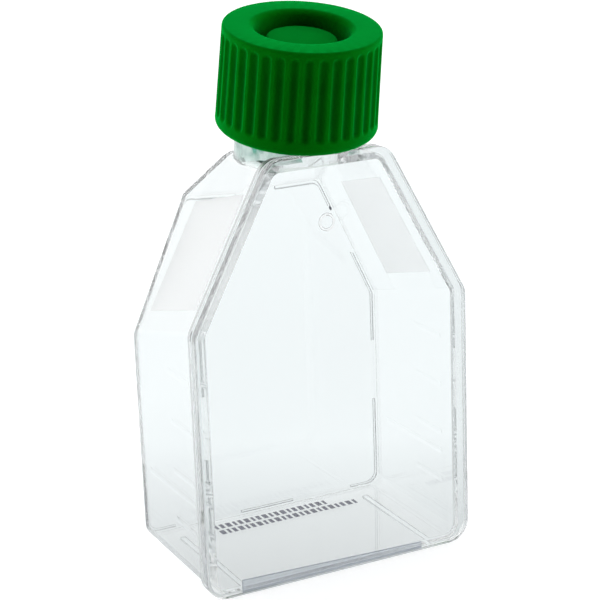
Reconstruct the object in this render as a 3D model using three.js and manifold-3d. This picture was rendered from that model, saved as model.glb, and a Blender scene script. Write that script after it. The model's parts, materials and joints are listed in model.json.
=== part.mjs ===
// Cell culture flask with a 25 cm2 growth area: a clear moulded tub with a canted screw neck, a clear
// cover plate welded over its open front, a green screw cap and the filter membrane under its vents.
// Millimetres and degrees. X runs across the flask, Y from the cover plate to the back wall, Z up.

import * as THREE from 'three';
import { mergeVertices } from 'three/addons/utils/BufferGeometryUtils.js';
import Module from 'manifold-3d';

const wasm = await Module();
wasm.setup();

// ---- Driving dimensions ----

const FLANGE = { width: 52, topWidth: 22.5, height: 74.7, shoulderHeight: 47.2, cornerRadius: 4 };
const COVER_THICKNESS = 1.6;
const TUB = {
  flangeThickness: 1.4,
  flangeLip: 1.3, // how far the flange stands out from the walls
  bottomLip: 0.2, // how far it stands down below the bottom wall
  depth: 27.7, // from the flange's back face to the outside of the back wall
  wall: 1,
  cornerRadius: 2.8,
  backRadius: 0.6,
  sideDraft: 0.1, // how far each side wall draws in from front to back
  bottomDraft: 0.45,
  shoulderDrop: 7, // how much lower the shoulder starts at the back
  backTopWidth: 18.3, // between the back's shoulder lines, where they would reach the deck's height
  deckDepth: 15.2, // flat top behind the flange, before the ramp
  rampHeight: 9.8, // from the back wall's top edge up to the deck
};
const FOOT_RIB = { spacing: 37, width: 1.1, length: 24.4, rootSink: 0.4 };
const RAIL = { width: 0.8, inset: 0.5, height: 0.45 };
const RAIL_GAPS = {
  bottomBarLength: 10.8,
  bottomCornerLength: 6.7, // from the side wall to the end of the corner piece
  side: { middle: 24.4, length: 11.8 },
  shoulder: { aboveMiddle: 1.2, length: 9.6 }, // above the middle of the shoulder's height
  topWidth: 8.6,
};
const NECK = {
  tilt: 12, // towards the cover plate
  frontGap: 0.13, // from the cover plate back to the neck's front
  radius: 10.4,
  wall: 1.3,
  height: 16,
  lipRadius: 0.6,
  mouthChamfer: 0.3,
};
const CAP = {
  skirtWall: 2, // at the skirt's lower edge
  draft: 0.45, // how much smaller the cap's radius is at its top
  topThickness: 1.5,
  topEdgeRadius: 0.5,
  bottomEdgeRadius: 1.2,
  plugWall: 0.7, // ring that seals in the neck's bore
  wellDepth: 5.5,
  wellLipRadius: 1,
  floorThickness: 1,
  plugSkirt: 0.8, // how far the plug ring reaches below the vented floor
  bossRadius: 5.95,
  bossWall: 1.1,
  bossRecess: 1.95, // how far the boss's face lies below the cap's top face
};
const FLUTE = { count: 36, radius: 1.2, depth: 0.4, bottomMargin: 1.9, topMargin: 0.7 };
const VENT = { count: 6, sweep: 38, edge: 0.4 };
const THREAD = {
  pitch: 4.2,
  turns: 1.25,
  rootWidth: 1.6,
  crestWidth: 0.8,
  height: 1, // of the neck's ridge above the neck's wall
  rootSink: 0.3,
  topMargin: 1.85, // from the neck's mouth down to the end of its ridge
};
const MEMBRANE_THICKNESS = 0.3;

// ---- Clearances ----

const CAP_CLEARANCE = 0.1; // underside of the cap to the cover plate's upper front edge
const PLUG_CLEARANCE = 0.3; // plug ring to the neck's bore
const LIP_CLEARANCE = 0.3; // neck's lip to the underside of the cap's top
const THREAD_CLEARANCE = 0.45; // each thread's crest to the wall that it faces
const MEMBRANE_CLEARANCE = 0.3;
const OVERRUN = 1; // how far a cutter runs past what it cuts

// ---- Fineness of curves ----

const CORNER_STEPS = 4;
const ROUND_SEGMENTS = 48;
const FILLET_STEPS = 3;
const FLUTE_SEGMENTS = 10;
const VENT_SEGMENTS = 4;

// ---- Sizes worked out from those above ----

const flangeBack = COVER_THICKNESS + TUB.flangeThickness;
const backFace = flangeBack + TUB.depth;
const deckHeight = FLANGE.height - TUB.flangeLip;
const foldHeight = deckHeight - TUB.rampHeight;
const rampTop = flangeBack + TUB.deckDepth;
const neckTilt = THREE.MathUtils.degToRad(NECK.tilt);
const skirtInside = NECK.radius + THREAD.height + THREAD_CLEARANCE;
const capRadius = skirtInside + CAP.skirtWall;
const neckSetback = COVER_THICKNESS + NECK.frontGap + NECK.radius * Math.cos(neckTilt);
const capRise = neckSetback * Math.tan(neckTilt) + CAP_CLEARANCE;
const capBase = new THREE.Vector3(0, neckSetback, FLANGE.height + capRise);
const neckMatrix = new THREE.Matrix4().makeTranslation(capBase)
  .multiply(new THREE.Matrix4().makeRotationX(neckTilt));
const boreRadius = NECK.radius - NECK.wall;
const plugRadius = boreRadius - PLUG_CLEARANCE;
const wellRadius = plugRadius - CAP.plugWall;
const capInsideTop = NECK.height + LIP_CLEARANCE;
const capTop = capInsideTop + CAP.topThickness;
const capTopRadius = capRadius - CAP.draft;
const wellFloor = capTop - CAP.wellDepth;
const floorUnderside = wellFloor - CAP.floorThickness;
const plugEnd = floorUnderside - CAP.plugSkirt;

// ---- Solids and meshes ----

function solidFrom(geometry) {
  const plain = geometry.clone();
  plain.deleteAttribute('normal');
  plain.deleteAttribute('uv');
  const merged = mergeVertices(plain, 1e-4);
  const mesh = new wasm.Mesh({
    numProp: 3,
    vertProperties: new Float32Array(merged.attributes.position.array),
    triVerts: new Uint32Array(merged.index.array),
  });
  return new wasm.Manifold(mesh);
}

function geometryFrom(solid) {
  const mesh = solid.getMesh();
  const geometry = new THREE.BufferGeometry();
  geometry.setAttribute('position', new THREE.BufferAttribute(mesh.vertProperties, mesh.numProp));
  geometry.setIndex(new THREE.BufferAttribute(mesh.triVerts, 1));
  geometry.computeVertexNormals();
  return geometry;
}

function pieceMesh(name, solid, material) {
  const mesh = new THREE.Mesh(geometryFrom(solid), material);
  mesh.name = name;
  return mesh;
}

function box(low, high) {
  const size = new THREE.Vector3().subVectors(high, low);
  const geometry = new THREE.BoxGeometry(size.x, size.y, size.z);
  geometry.translate((low.x + high.x) / 2, (low.y + high.y) / 2, (low.z + high.z) / 2);
  return solidFrom(geometry);
}

// A solid of revolution about Z from a profile of [radius, height] points, in counter-clockwise order.
function turned(profile) {
  const points = profile.map(([radius, height]) => new THREE.Vector2(radius, height));
  return solidFrom(new THREE.LatheGeometry(points, ROUND_SEGMENTS).rotateX(Math.PI / 2));
}

// Points of a quarter-round between two angles, as [radius, height] pairs.
function arcPoints(centreR, centreZ, radius, fromDegrees, toDegrees) {
  const points = [];
  for (let i = 0; i <= FILLET_STEPS; i += 1) {
    const angle = THREE.MathUtils.degToRad(fromDegrees + ((toDegrees - fromDegrees) * i) / FILLET_STEPS);
    points.push([centreR + radius * Math.cos(angle), centreZ + radius * Math.sin(angle)]);
  }
  return points;
}

// ---- House-shaped outlines in the XZ plane, counter-clockwise seen from the front ----

function houseCorners({ half, topHalf, bottom, shoulder, top }) {
  return [
    new THREE.Vector2(-half, bottom),
    new THREE.Vector2(half, bottom),
    new THREE.Vector2(half, shoulder),
    new THREE.Vector2(topHalf, top),
    new THREE.Vector2(-topHalf, top),
    new THREE.Vector2(-half, shoulder),
  ];
}

// Each edge moved inwards by the same distance.
function insetCorners(corners, distance) {
  return corners.map((corner, i) => {
    const before = corners[(i + corners.length - 1) % corners.length];
    const after = corners[(i + 1) % corners.length];
    const into = new THREE.Vector2().subVectors(corner, before).normalize();
    const out = new THREE.Vector2().subVectors(after, corner).normalize();
    const inward = new THREE.Vector2(-into.y - out.y, into.x + out.x);
    return corner.clone().addScaledVector(inward, distance / (1 + into.dot(out)));
  });
}

function roundedOutline(corners, radius) {
  const points = [];
  corners.forEach((corner, i) => {
    const before = corners[(i + corners.length - 1) % corners.length];
    const after = corners[(i + 1) % corners.length];
    const into = new THREE.Vector2().subVectors(corner, before).normalize();
    const out = new THREE.Vector2().subVectors(after, corner).normalize();
    const turn = Math.acos(into.dot(out));
    const start = corner.clone().addScaledVector(into, -radius * Math.tan(turn / 2));
    const centre = start.clone().add(new THREE.Vector2(-into.y, into.x).multiplyScalar(radius));
    for (let step = 0; step <= CORNER_STEPS; step += 1) {
      const spoke = new THREE.Vector2().subVectors(start, centre);
      points.push(spoke.rotateAround(new THREE.Vector2(), (turn * step) / CORNER_STEPS).add(centre));
    }
  });
  return points;
}

// A closed solid through outlines of equal point count, each at its own depth y, front to back.
function loft(sections) {
  const count = sections[0].outline.length;
  const positions = sections.flatMap(({ y, outline }) => outline.flatMap((point) => [point.x, y, point.y]));
  const faces = THREE.ShapeUtils.triangulateShape(sections[0].outline, []);
  const last = (sections.length - 1) * count;
  const index = faces.flatMap(([a, b, c]) => [a, b, c, last + a, last + c, last + b]);
  for (let s = 0; s < sections.length - 1; s += 1) {
    for (let i = 0; i < count; i += 1) {
      const front = s * count + i;
      const frontNext = s * count + ((i + 1) % count);
      const back = front + count;
      const backNext = frontNext + count;
      index.push(front, back, backNext, front, backNext, frontNext);
    }
  }
  const geometry = new THREE.BufferGeometry();
  geometry.setAttribute('position', new THREE.Float32BufferAttribute(positions, 3));
  geometry.setIndex(index);
  return solidFrom(geometry);
}

function plate(outline, fromY, toY) {
  return loft([{ y: fromY, outline }, { y: toY, outline }]);
}

// A solid of constant section across X, from a side profile of [y, z] points.
function acrossFlask(profile, halfSpan) {
  const shape = new THREE.Shape(profile.map(([y, z]) => new THREE.Vector2(y, z)));
  const geometry = new THREE.ExtrudeGeometry(shape, { depth: 2 * halfSpan, bevelEnabled: false });
  const axes = [new THREE.Vector3(0, 1, 0), new THREE.Vector3(0, 0, 1), new THREE.Vector3(1, 0, 0)];
  geometry.applyMatrix4(new THREE.Matrix4().makeBasis(...axes));
  geometry.translate(-halfSpan, 0, 0);
  return solidFrom(geometry);
}

// ---- Flange and tub outlines ----

const flangeCorners = houseCorners({
  half: FLANGE.width / 2,
  topHalf: FLANGE.topWidth / 2,
  bottom: 0,
  shoulder: FLANGE.shoulderHeight,
  top: FLANGE.height,
});
const flangeOutline = roundedOutline(flangeCorners, FLANGE.cornerRadius);
const frontCorners = insetCorners(flangeCorners, TUB.flangeLip);
frontCorners[0].y = TUB.bottomLip;
frontCorners[1].y = TUB.bottomLip;
const backSize = {
  half: frontCorners[1].x - TUB.sideDraft,
  topHalf: TUB.backTopWidth / 2,
  bottom: frontCorners[1].y + TUB.bottomDraft,
  shoulder: frontCorners[2].y - TUB.shoulderDrop,
  top: deckHeight,
};
const backCorners = houseCorners(backSize);
const foldShare = (foldHeight - backSize.shoulder) / (deckHeight - backSize.shoulder);
const foldHalf = THREE.MathUtils.lerp(backSize.half, backSize.topHalf, foldShare);
const backWallCorners = houseCorners({ ...backSize, topHalf: foldHalf, top: foldHeight });

// The tub's outline at one depth, inside its outer faces by the inset.
function tubOutline(y, inset, radius) {
  const share = (y - flangeBack) / TUB.depth;
  const corners = frontCorners.map((corner, i) => corner.clone().lerp(backCorners[i], share));
  return roundedOutline(insetCorners(corners, inset), radius);
}

// Everything inside the tub's walls, moved in by the inset, with a rounded edge round the back wall.
function tubShape(inset, frontY) {
  const backY = backFace - inset;
  const radius = TUB.cornerRadius - inset;
  const edge = TUB.backRadius;
  const sections = [{ y: frontY, outline: tubOutline(frontY, inset, radius) }];
  for (let step = 0; step <= FILLET_STEPS; step += 1) {
    const angle = ((Math.PI / 2) * step) / FILLET_STEPS;
    const y = backY - edge + edge * Math.sin(angle);
    const draw = edge * (1 - Math.cos(angle));
    sections.push({ y, outline: tubOutline(y, inset + draw, radius) });
  }
  return loft(sections).intersect(belowRamp(inset));
}

// Everything below the ramp that falls from the deck to the back wall's top edge.
function belowRamp(inset) {
  const slope = (deckHeight - foldHeight) / (backFace - rampTop);
  const lowered = inset * Math.hypot(1, slope);
  const ramp = (y) => foldHeight - lowered + slope * (backFace - y);
  const [nearY, farY] = [-OVERRUN, backFace + OVERRUN];
  const profile = [[nearY, -OVERRUN], [farY, -OVERRUN], [farY, ramp(farY)], [nearY, ramp(nearY)]];
  return acrossFlask(profile, FLANGE.width);
}

// ---- Neck and threads ----

// How far down its axis the neck runs before its rear side is inside the ramp's wall.
function neckRoot() {
  const slope = (deckHeight - foldHeight) / (backFace - rampTop);
  const rearY = capBase.y + NECK.radius * Math.cos(neckTilt);
  const rearZ = capBase.z + NECK.radius * Math.sin(neckTilt);
  const rampAtRear = foldHeight + slope * (backFace - rearY) - TUB.wall * Math.hypot(1, slope);
  return (rampAtRear - rearZ) / (Math.cos(neckTilt) - slope * Math.sin(neckTilt));
}

// A helical ridge about Z on a wall of the given radius, its crest inwards or outwards of it.
function threadRidge({ wallRadius, crestRadius, start }) {
  const sink = THREAD.rootSink * Math.sign(wallRadius - crestRadius);
  const steps = Math.round(ROUND_SEGMENTS * THREAD.turns);
  const section = [
    [wallRadius + sink, -THREAD.rootWidth / 2],
    [crestRadius, -THREAD.crestWidth / 2],
    [crestRadius, THREAD.crestWidth / 2],
    [wallRadius + sink, THREAD.rootWidth / 2],
  ];
  if (crestRadius < wallRadius) section.reverse();
  const positions = [];
  for (let step = 0; step <= steps; step += 1) {
    const turn = step / ROUND_SEGMENTS;
    const angle = 2 * Math.PI * turn;
    section.forEach(([radius, offset]) => {
      const height = start + THREAD.pitch * turn + offset;
      positions.push(radius * Math.cos(angle), radius * Math.sin(angle), height);
    });
  }
  const index = [0, 1, 2, 0, 2, 3];
  for (let step = 0; step < steps; step += 1) {
    for (let i = 0; i < 4; i += 1) {
      const a = step * 4 + i;
      const b = step * 4 + ((i + 1) % 4);
      index.push(a, a + 4, b + 4, a, b + 4, b);
    }
  }
  const end = steps * 4;
  index.push(end, end + 2, end + 1, end, end + 3, end + 2);
  const geometry = new THREE.BufferGeometry();
  geometry.setAttribute('position', new THREE.Float32BufferAttribute(positions, 3));
  geometry.setIndex(index);
  return solidFrom(geometry);
}

const neckThreadStart = NECK.height - THREAD.topMargin - THREAD.pitch * THREAD.turns;
const capThreadStart = neckThreadStart - THREAD.pitch / 2;

function neckSolid() {
  const { radius, height, lipRadius } = NECK;
  const root = neckRoot();
  const tube = turned([
    [0, root],
    [radius, root],
    ...arcPoints(radius - lipRadius, height - lipRadius, lipRadius, 0, 90),
    [0, height],
  ]);
  const crestRadius = radius + THREAD.height;
  return tube.add(threadRidge({ wallRadius: radius, crestRadius, start: neckThreadStart }));
}

function boreSolid() {
  const { height, mouthChamfer } = NECK;
  const end = neckRoot() - TUB.wall;
  return turned([
    [0, end],
    [boreRadius, end],
    [boreRadius, height - mouthChamfer],
    [boreRadius + mouthChamfer, height],
    [boreRadius + mouthChamfer, height + OVERRUN],
    [0, height + OVERRUN],
  ]);
}

// ---- Flask body: tub, flange, neck, foot ribs and stacking rails, one moulding ----

function footRib(side) {
  const centre = (side * FOOT_RIB.spacing) / 2;
  const bottomInside = backSize.bottom + FOOT_RIB.rootSink;
  const low = new THREE.Vector3(centre - FOOT_RIB.width / 2, COVER_THICKNESS, 0);
  const high = new THREE.Vector3(centre + FOOT_RIB.width / 2, COVER_THICKNESS + FOOT_RIB.length, bottomInside);
  return box(low, high);
}

// Raised rail round the edge of the back wall, in pieces with gaps between them.
function stackingRails() {
  const [fromY, toY] = [backFace - TUB.backRadius, backFace + RAIL.height];
  const outer = roundedOutline(insetCorners(backWallCorners, RAIL.inset), TUB.cornerRadius);
  const inner = roundedOutline(
    insetCorners(backWallCorners, RAIL.inset + RAIL.width),
    TUB.cornerRadius - RAIL.width,
  );
  let rails = plate(outer, fromY, toY).subtract(plate(inner, fromY - OVERRUN, toY + OVERRUN));
  const cut = (lowX, highX, lowZ, highZ) => {
    const low = new THREE.Vector3(lowX, fromY - OVERRUN, lowZ);
    rails = rails.subtract(box(low, new THREE.Vector3(highX, toY + OVERRUN, highZ)));
  };
  const reach = backSize.half + OVERRUN;
  const cutBand = (middle, length) => cut(-reach, reach, middle - length / 2, middle + length / 2);
  const { bottomBarLength, bottomCornerLength, side, shoulder, topWidth } = RAIL_GAPS;
  const cornerEnd = backSize.half - bottomCornerLength;
  const belowSides = backSize.bottom + TUB.cornerRadius;
  cut(bottomBarLength / 2, cornerEnd, 0, belowSides);
  cut(-cornerEnd, -bottomBarLength / 2, 0, belowSides);
  cutBand(side.middle, side.length);
  cutBand((backSize.shoulder + foldHeight) / 2 + shoulder.aboveMiddle, shoulder.length);
  cut(-topWidth / 2, topWidth / 2, foldHeight - TUB.cornerRadius, deckHeight);
  return rails;
}

function flaskBody() {
  const insideFlange = COVER_THICKNESS + TUB.flangeThickness / 2;
  return tubShape(0, insideFlange)
    .add(plate(flangeOutline, COVER_THICKNESS, flangeBack))
    .add(neckSolid().transform(neckMatrix.elements))
    .add(footRib(-1))
    .add(footRib(1))
    .add(stackingRails())
    .subtract(tubShape(TUB.wall, COVER_THICKNESS - OVERRUN))
    .subtract(boreSolid().transform(neckMatrix.elements));
}

function coverPlate() {
  return plate(flangeOutline, 0, COVER_THICKNESS);
}

// ---- Screw cap, built about its own axis with the neck's cap base at zero ----

function capShell() {
  const { topEdgeRadius: top, bottomEdgeRadius: bottom, wellLipRadius: lip } = CAP;
  const bossTop = capTop - CAP.bossRecess;
  const bossInside = CAP.bossRadius - CAP.bossWall;
  return turned([
    [0, bossTop - CAP.bossWall],
    [bossInside, bossTop - CAP.bossWall],
    [bossInside, floorUnderside],
    [wellRadius, floorUnderside],
    [wellRadius, plugEnd],
    [plugRadius - CAP.plugWall / 2, plugEnd],
    [plugRadius, plugEnd + CAP.plugWall],
    [plugRadius, capInsideTop],
    [skirtInside, capInsideTop],
    [skirtInside, 0],
    ...arcPoints(capRadius - bottom, bottom, bottom, -90, 0),
    ...arcPoints(capTopRadius - top, capTop - top, top, 0, 90),
    ...arcPoints(wellRadius + lip, capTop - lip, lip, 90, 180),
    [wellRadius, wellFloor],
    [CAP.bossRadius, wellFloor],
    ...arcPoints(CAP.bossRadius - top, bossTop - top, top, 0, 90),
    [0, bossTop],
  ]);
}

function fluteCutter(position) {
  const [low, high] = [FLUTE.bottomMargin, capTop - FLUTE.topMargin];
  const middle = (low + high) / 2;
  const length = high - low - 2 * FLUTE.radius;
  const wallRadius = capRadius - CAP.draft * (middle / capTop);
  const geometry = new THREE.CapsuleGeometry(FLUTE.radius, length, FILLET_STEPS, FLUTE_SEGMENTS);
  geometry.rotateX(Math.PI / 2);
  geometry.rotateY(-Math.atan(CAP.draft / capTop));
  geometry.translate(wallRadius + FLUTE.radius - FLUTE.depth, 0, middle);
  geometry.rotateZ((2 * Math.PI * position) / FLUTE.count);
  return solidFrom(geometry);
}

function ventCutter(position) {
  const sweep = THREE.MathUtils.degToRad(VENT.sweep);
  const [inner, outer] = [CAP.bossRadius + VENT.edge, wellRadius - VENT.edge];
  const shape = new THREE.Shape().absarc(0, 0, outer, 0, sweep, false).absarc(0, 0, inner, sweep, 0, true);
  const depth = CAP.floorThickness + 2 * OVERRUN;
  const options = { depth, bevelEnabled: false, curveSegments: VENT_SEGMENTS };
  const geometry = new THREE.ExtrudeGeometry(shape, options);
  geometry.translate(0, 0, floorUnderside - OVERRUN);
  geometry.rotateZ((2 * Math.PI * position) / VENT.count);
  return solidFrom(geometry);
}

function screwCap() {
  const crestRadius = NECK.radius + THREAD_CLEARANCE;
  let cap = capShell().add(threadRidge({ wallRadius: skirtInside, crestRadius, start: capThreadStart }));
  for (let i = 0; i < FLUTE.count; i += 1) cap = cap.subtract(fluteCutter(i));
  for (let i = 0; i < VENT.count; i += 1) cap = cap.subtract(ventCutter(i));
  return cap;
}

function filterMembrane() {
  const top = floorUnderside - MEMBRANE_CLEARANCE;
  const radius = wellRadius - MEMBRANE_CLEARANCE;
  return turned([
    [0, top - MEMBRANE_THICKNESS],
    [radius, top - MEMBRANE_THICKNESS],
    [radius, top],
    [0, top],
  ]);
}

// ---- Assembly ----

const clearPlastic = new THREE.MeshStandardMaterial({
  color: 0xe8f1f3,
  roughness: 0.08,
  metalness: 0,
  transparent: true,
  opacity: 0.35,
});
const greenPlastic = new THREE.MeshStandardMaterial({ color: 0x05872a, roughness: 0.45, metalness: 0 });
const filterFilm = new THREE.MeshStandardMaterial({ color: 0xf2f2ee, roughness: 0.9, metalness: 0 });

const closure = new THREE.Group();
closure.position.copy(capBase);
closure.rotation.x = neckTilt;
closure.add(pieceMesh('screw_cap', screwCap(), greenPlastic));
closure.add(pieceMesh('filter_membrane', filterMembrane(), filterFilm));

const flask = new THREE.Group();
flask.add(pieceMesh('flask_body', flaskBody(), clearPlastic.clone()));
flask.add(pieceMesh('cover_plate', coverPlate(), clearPlastic.clone()));
flask.add(closure);

// The origin is the centre of the box that the flask fills, at the level that it stands on.
const extent = new THREE.Box3().setFromObject(flask);
flask.position.set(0, -(extent.min.y + extent.max.y) / 2, -extent.min.z);

export default flask;
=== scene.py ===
"""Cell culture flask: fine meshes, materials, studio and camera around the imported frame.

Shapes are worked out in millimetres, with Y counted from the cover plate's front face, and are
scaled to metres and set in the frame's place when each piece is finished.
"""

import json
import math

import bmesh
import bpy
import numpy as np
from mathutils import Matrix, Vector


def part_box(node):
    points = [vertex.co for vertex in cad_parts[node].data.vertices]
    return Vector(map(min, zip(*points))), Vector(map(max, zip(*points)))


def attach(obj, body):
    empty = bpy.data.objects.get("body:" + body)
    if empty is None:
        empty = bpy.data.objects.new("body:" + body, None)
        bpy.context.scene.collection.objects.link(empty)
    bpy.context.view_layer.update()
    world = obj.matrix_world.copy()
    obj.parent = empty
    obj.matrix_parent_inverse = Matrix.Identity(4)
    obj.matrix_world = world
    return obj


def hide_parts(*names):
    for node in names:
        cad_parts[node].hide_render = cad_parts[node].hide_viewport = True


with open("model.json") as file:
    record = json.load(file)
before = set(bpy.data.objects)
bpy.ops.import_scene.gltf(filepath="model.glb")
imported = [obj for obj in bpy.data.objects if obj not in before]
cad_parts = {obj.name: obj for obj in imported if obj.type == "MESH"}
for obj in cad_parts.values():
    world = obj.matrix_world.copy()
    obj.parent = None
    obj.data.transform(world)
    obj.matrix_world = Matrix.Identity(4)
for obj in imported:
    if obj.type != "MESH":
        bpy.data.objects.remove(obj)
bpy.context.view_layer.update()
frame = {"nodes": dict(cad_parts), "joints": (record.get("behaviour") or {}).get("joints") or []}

MM = 0.001
PLASTIC_IOR = 1.59

# ---- Sizes of the clear mouldings, in millimetres ----

cover_low, cover_high = (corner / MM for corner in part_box("cover_plate"))
FRONT_Y = cover_low.y
COVER_THICKNESS = cover_high.y - cover_low.y
WELD_GAP = 0.04  # thin line of air that shows where the plate is welded on
FLANGE = {"half": cover_high.x, "top_half": 11.25, "bottom": 0.0, "shoulder": 47.2, "top": cover_high.z}
FLANGE_CORNER = 4.0
FLANGE_THICKNESS = 1.4
FLANGE_LIP = 1.3
BOTTOM_LIP = 0.2
EDGE_RADIUS = 0.3
TUB_DEPTH = 27.7
WALL = 1.0
TUB_CORNER = 2.8
BACK_RADIUS = 0.6
SIDE_DRAFT = 0.1
BOTTOM_DRAFT = 0.45
SHOULDER_DROP = 7.0
BACK_TOP_HALF = 9.15
DECK_DEPTH = 15.2
RAMP_HEIGHT = 9.8
RIB = {"spacing": 37.0, "width": 1.1, "length": 24.4, "sink": 0.4, "behind_flange_front": 0.3}
RIDGE_EDGE = 0.2  # rounding of the ribs' and rails' edges
RAIL = {"width": 0.8, "inset": 0.5, "height": 0.449}
RAIL_GAPS = {"bar": 10.8, "corner": 6.7, "side": (24.4, 11.8), "shoulder": (1.2, 9.6), "top": 8.6}

TICK = {"width": 1.2, "rise": 0.05, "foot": 0.005, "sink": 0.3, "front": 6.4, "taper": 0.4, "thin": 0.1}
TICK_ROUND = 0.7  # share of its rise that a tick has half way to its edge
SHORT_TICKS = {"heights": (10.0, 19.1, 28.2, 37.3), "back": 15.3}
LONG_TICKS = {"heights": (15.5,), "back": 26.3}
PANEL = {"front": 6.4, "backs": ((26.0, 23.6), (21.9, 21.8)), "above_fold": (3.9, 22.3), "rise": 0.1,
         "sink": 0.3}
MOULD_MARK = {"place": (14.6, 54.75), "radius": 1.45, "width": 0.6, "rise": 0.15, "sink": 0.3,
              "sweep": 200, "starts": (60, 240), "steps": 32}
GATE_PIP = {"place": (15.6, 57.3), "radius": 0.4, "rise": 0.3, "sink": 0.4, "edge": 0.15, "steps": 24}
# Dark film and rim on the cover plate's back between the foot ribs: painted shadow of the gap under the flask
SHADOW_FILM = {"from": -19.2, "to": 16.5, "low": 0.1, "high": (2.5, 1.35), "thickness": 0.012}
SHADOW_STRIP_SINK = 0.2
SHADOW_RIM = {"width": 0.22, "foot": 0.35, "thickness": 0.02}
DASHES = {"rows": (24.5, 27.0), "from": -12.5, "to": (15.5, 11.0), "lengths": (0.95, 0.55, 0.75), "gap": 0.5,
          "depth": 1.8, "rise": 0.03, "sink": 0.3, "edge": 0.02}

flange_back = COVER_THICKNESS + FLANGE_THICKNESS
back_face = flange_back + TUB_DEPTH
deck_height = FLANGE["top"] - FLANGE_LIP
fold_height = deck_height - RAMP_HEIGHT
ramp_top = flange_back + DECK_DEPTH
ramp_slope = RAMP_HEIGHT / (back_face - ramp_top)

# ---- Sizes of the neck and cap, in millimetres along and about the neck's axis ----

cap_joint = next(joint for joint in frame["joints"] if joint["name"] == "cap_turn")
NECK_AXIS = Vector(cap_joint["axis"]).normalized()
NECK_BASE = Vector(cap_joint["pos_m"]) / MM
NECK_TILT = math.atan2(-NECK_AXIS.y, NECK_AXIS.z)
NECK = {"radius": 10.4, "wall": 1.3, "height": 16.0, "lip": 0.6, "chamfer": 0.3, "shown": 1.2}
THREAD = {"pitch": 4.2, "turns": 1.25, "root": 1.6, "crest": 0.8, "height": 1.0, "sink": 0.3,
          "margin": 1.85}
CAP_RADIUS = 13.83  # at the skirt's lower edge
CAP_DRAFT = 0.45  # how much smaller the radius is at the top
SKIRT_INSIDE = 11.85
CAP_TOP = 17.79
TOP_WALL = 1.5
TOP_EDGE = 0.5
BOTTOM_EDGE = 1.2
WELL = {"radius": 8.1, "depth": 5.5, "lip": 1.0, "floor": 1.0}
PLUG = {"radius": 8.8, "skirt": 0.8, "wall": 0.7}
BOSS = {"radius": 5.95, "recess": 1.95, "wall": 1.1}
FLUTE = {"count": 36, "radius": 1.2, "depth": 0.4, "low": 1.9, "high": 17.1, "phase": -2.0, "blend": 0.16}
VENT = {"count": 6, "sweep": 38.0, "edge": 0.4}

# ---- Fineness of curves ----

CORNER_STEPS = 10
EDGE_STEPS = 4
FILLET_STEPS = 8
TURN_STEPS = 128
CLEAR_SHARP = 35  # degrees between faces from which an edge shades sharp
CAP_SHARP = 40


# ---- Meshes and booleans ----

def mesh_object(name, points, faces):
    mesh = bpy.data.meshes.new(name)
    mesh.from_pydata([tuple(point) for point in points], [], [tuple(face) for face in faces])
    mesh.update()
    piece = bpy.data.objects.new(name, mesh)
    bpy.context.scene.collection.objects.link(piece)
    return piece


def tube_faces(rings, count):
    """Faces of a solid through equal rings of points, with a face over each end."""
    last = (rings - 1) * count
    faces = [list(range(count)), [last + i for i in reversed(range(count))]]
    for ring in range(rings - 1):
        for i in range(count):
            a, b = ring * count + i, ring * count + (i + 1) % count
            faces.append([a, a + count, b + count, b])
    return faces


def prism_faces(count):
    """Faces of a straight prism between two equal outlines, facing outward for a counter-clockwise one."""
    faces = [list(reversed(range(count))), list(range(count, 2 * count))]
    return faces + [[i, (i + 1) % count, count + (i + 1) % count, count + i] for i in range(count)]


def turned_faces(columns, count):
    """Faces round an axis: two points on the axis come first, then the columns of points."""
    faces = []
    for column in range(columns):
        a, b = 2 + column * count, 2 + (column + 1) % columns * count
        faces.append([0, b, a])
        faces.append([1, a + count - 1, b + count - 1])
        faces += [[a + i, b + i, b + i + 1, a + i + 1] for i in range(count - 1)]
    return faces


def join_meshes(name, pieces):
    """One object from several whose solids do not touch."""
    points, faces = [], []
    for piece in pieces:
        start = len(points)
        points.extend(vertex.co.copy() for vertex in piece.data.vertices)
        faces.extend([start + corner for corner in face.vertices] for face in piece.data.polygons)
        bpy.data.objects.remove(piece)
    return mesh_object(name, points, faces)


def combine(target, tool, operation):
    modifier = target.modifiers.new("join", "BOOLEAN")
    modifier.operation = operation
    modifier.solver = "MANIFOLD"
    modifier.material_mode = "TRANSFER"
    modifier.object = tool
    graph = bpy.context.evaluated_depsgraph_get()
    mesh = bpy.data.meshes.new_from_object(target.evaluated_get(graph))
    target.modifiers.clear()
    target.data = mesh
    bpy.data.objects.remove(tool)


def finish_with(piece, finishes):
    """Give a piece its material slots: its faces keep the finish they have, or get the first."""
    slots = piece.data.materials
    had = [slots[face.material_index] if slots else None for face in piece.data.polygons]
    slots.clear()
    for finish in finishes:
        slots.append(finish)
    for face, finish in zip(piece.data.polygons, had):
        face.material_index = finishes.index(finish) if finish in finishes else 0


def join_on(body, piece, finish):
    finish_with(piece, [finish])
    combine(body, piece, "UNION")


def cut_out(body, piece, finish):
    finish_with(piece, [finish])
    combine(body, piece, "DIFFERENCE")


def place(piece, matrix):
    piece.data.transform(matrix)
    return piece


def smooth(piece, degrees):
    """Smooth faces up to an angle, with flat faces kept flat beside their fillets."""
    for face in piece.data.polygons:
        face.use_smooth = True
    piece.data.set_sharp_from_angle(angle=math.radians(degrees))
    weighted = piece.modifiers.new("normals", "WEIGHTED_NORMAL")
    weighted.keep_sharp = True


def into_frame(piece):
    """From millimetres with Y from the cover plate's front face to metres in the frame."""
    return place(piece, Matrix.Scale(MM, 4) @ Matrix.Translation((0, FRONT_Y, 0)))


# ---- Outlines in the XZ plane ----

def house(half, top_half, bottom, shoulder, top):
    """Upright sides to the shoulder, then slopes in to the top: six corners, counter-clockwise from the
    lower left, as seen from the front."""
    right = [(half, bottom), (half, shoulder), (top_half, top)]
    left = [(-x, z) for x, z in reversed(right)]
    return np.array([left[-1]] + right + left[:2], float)


def unit(vector):
    return vector / np.linalg.norm(vector)


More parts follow.
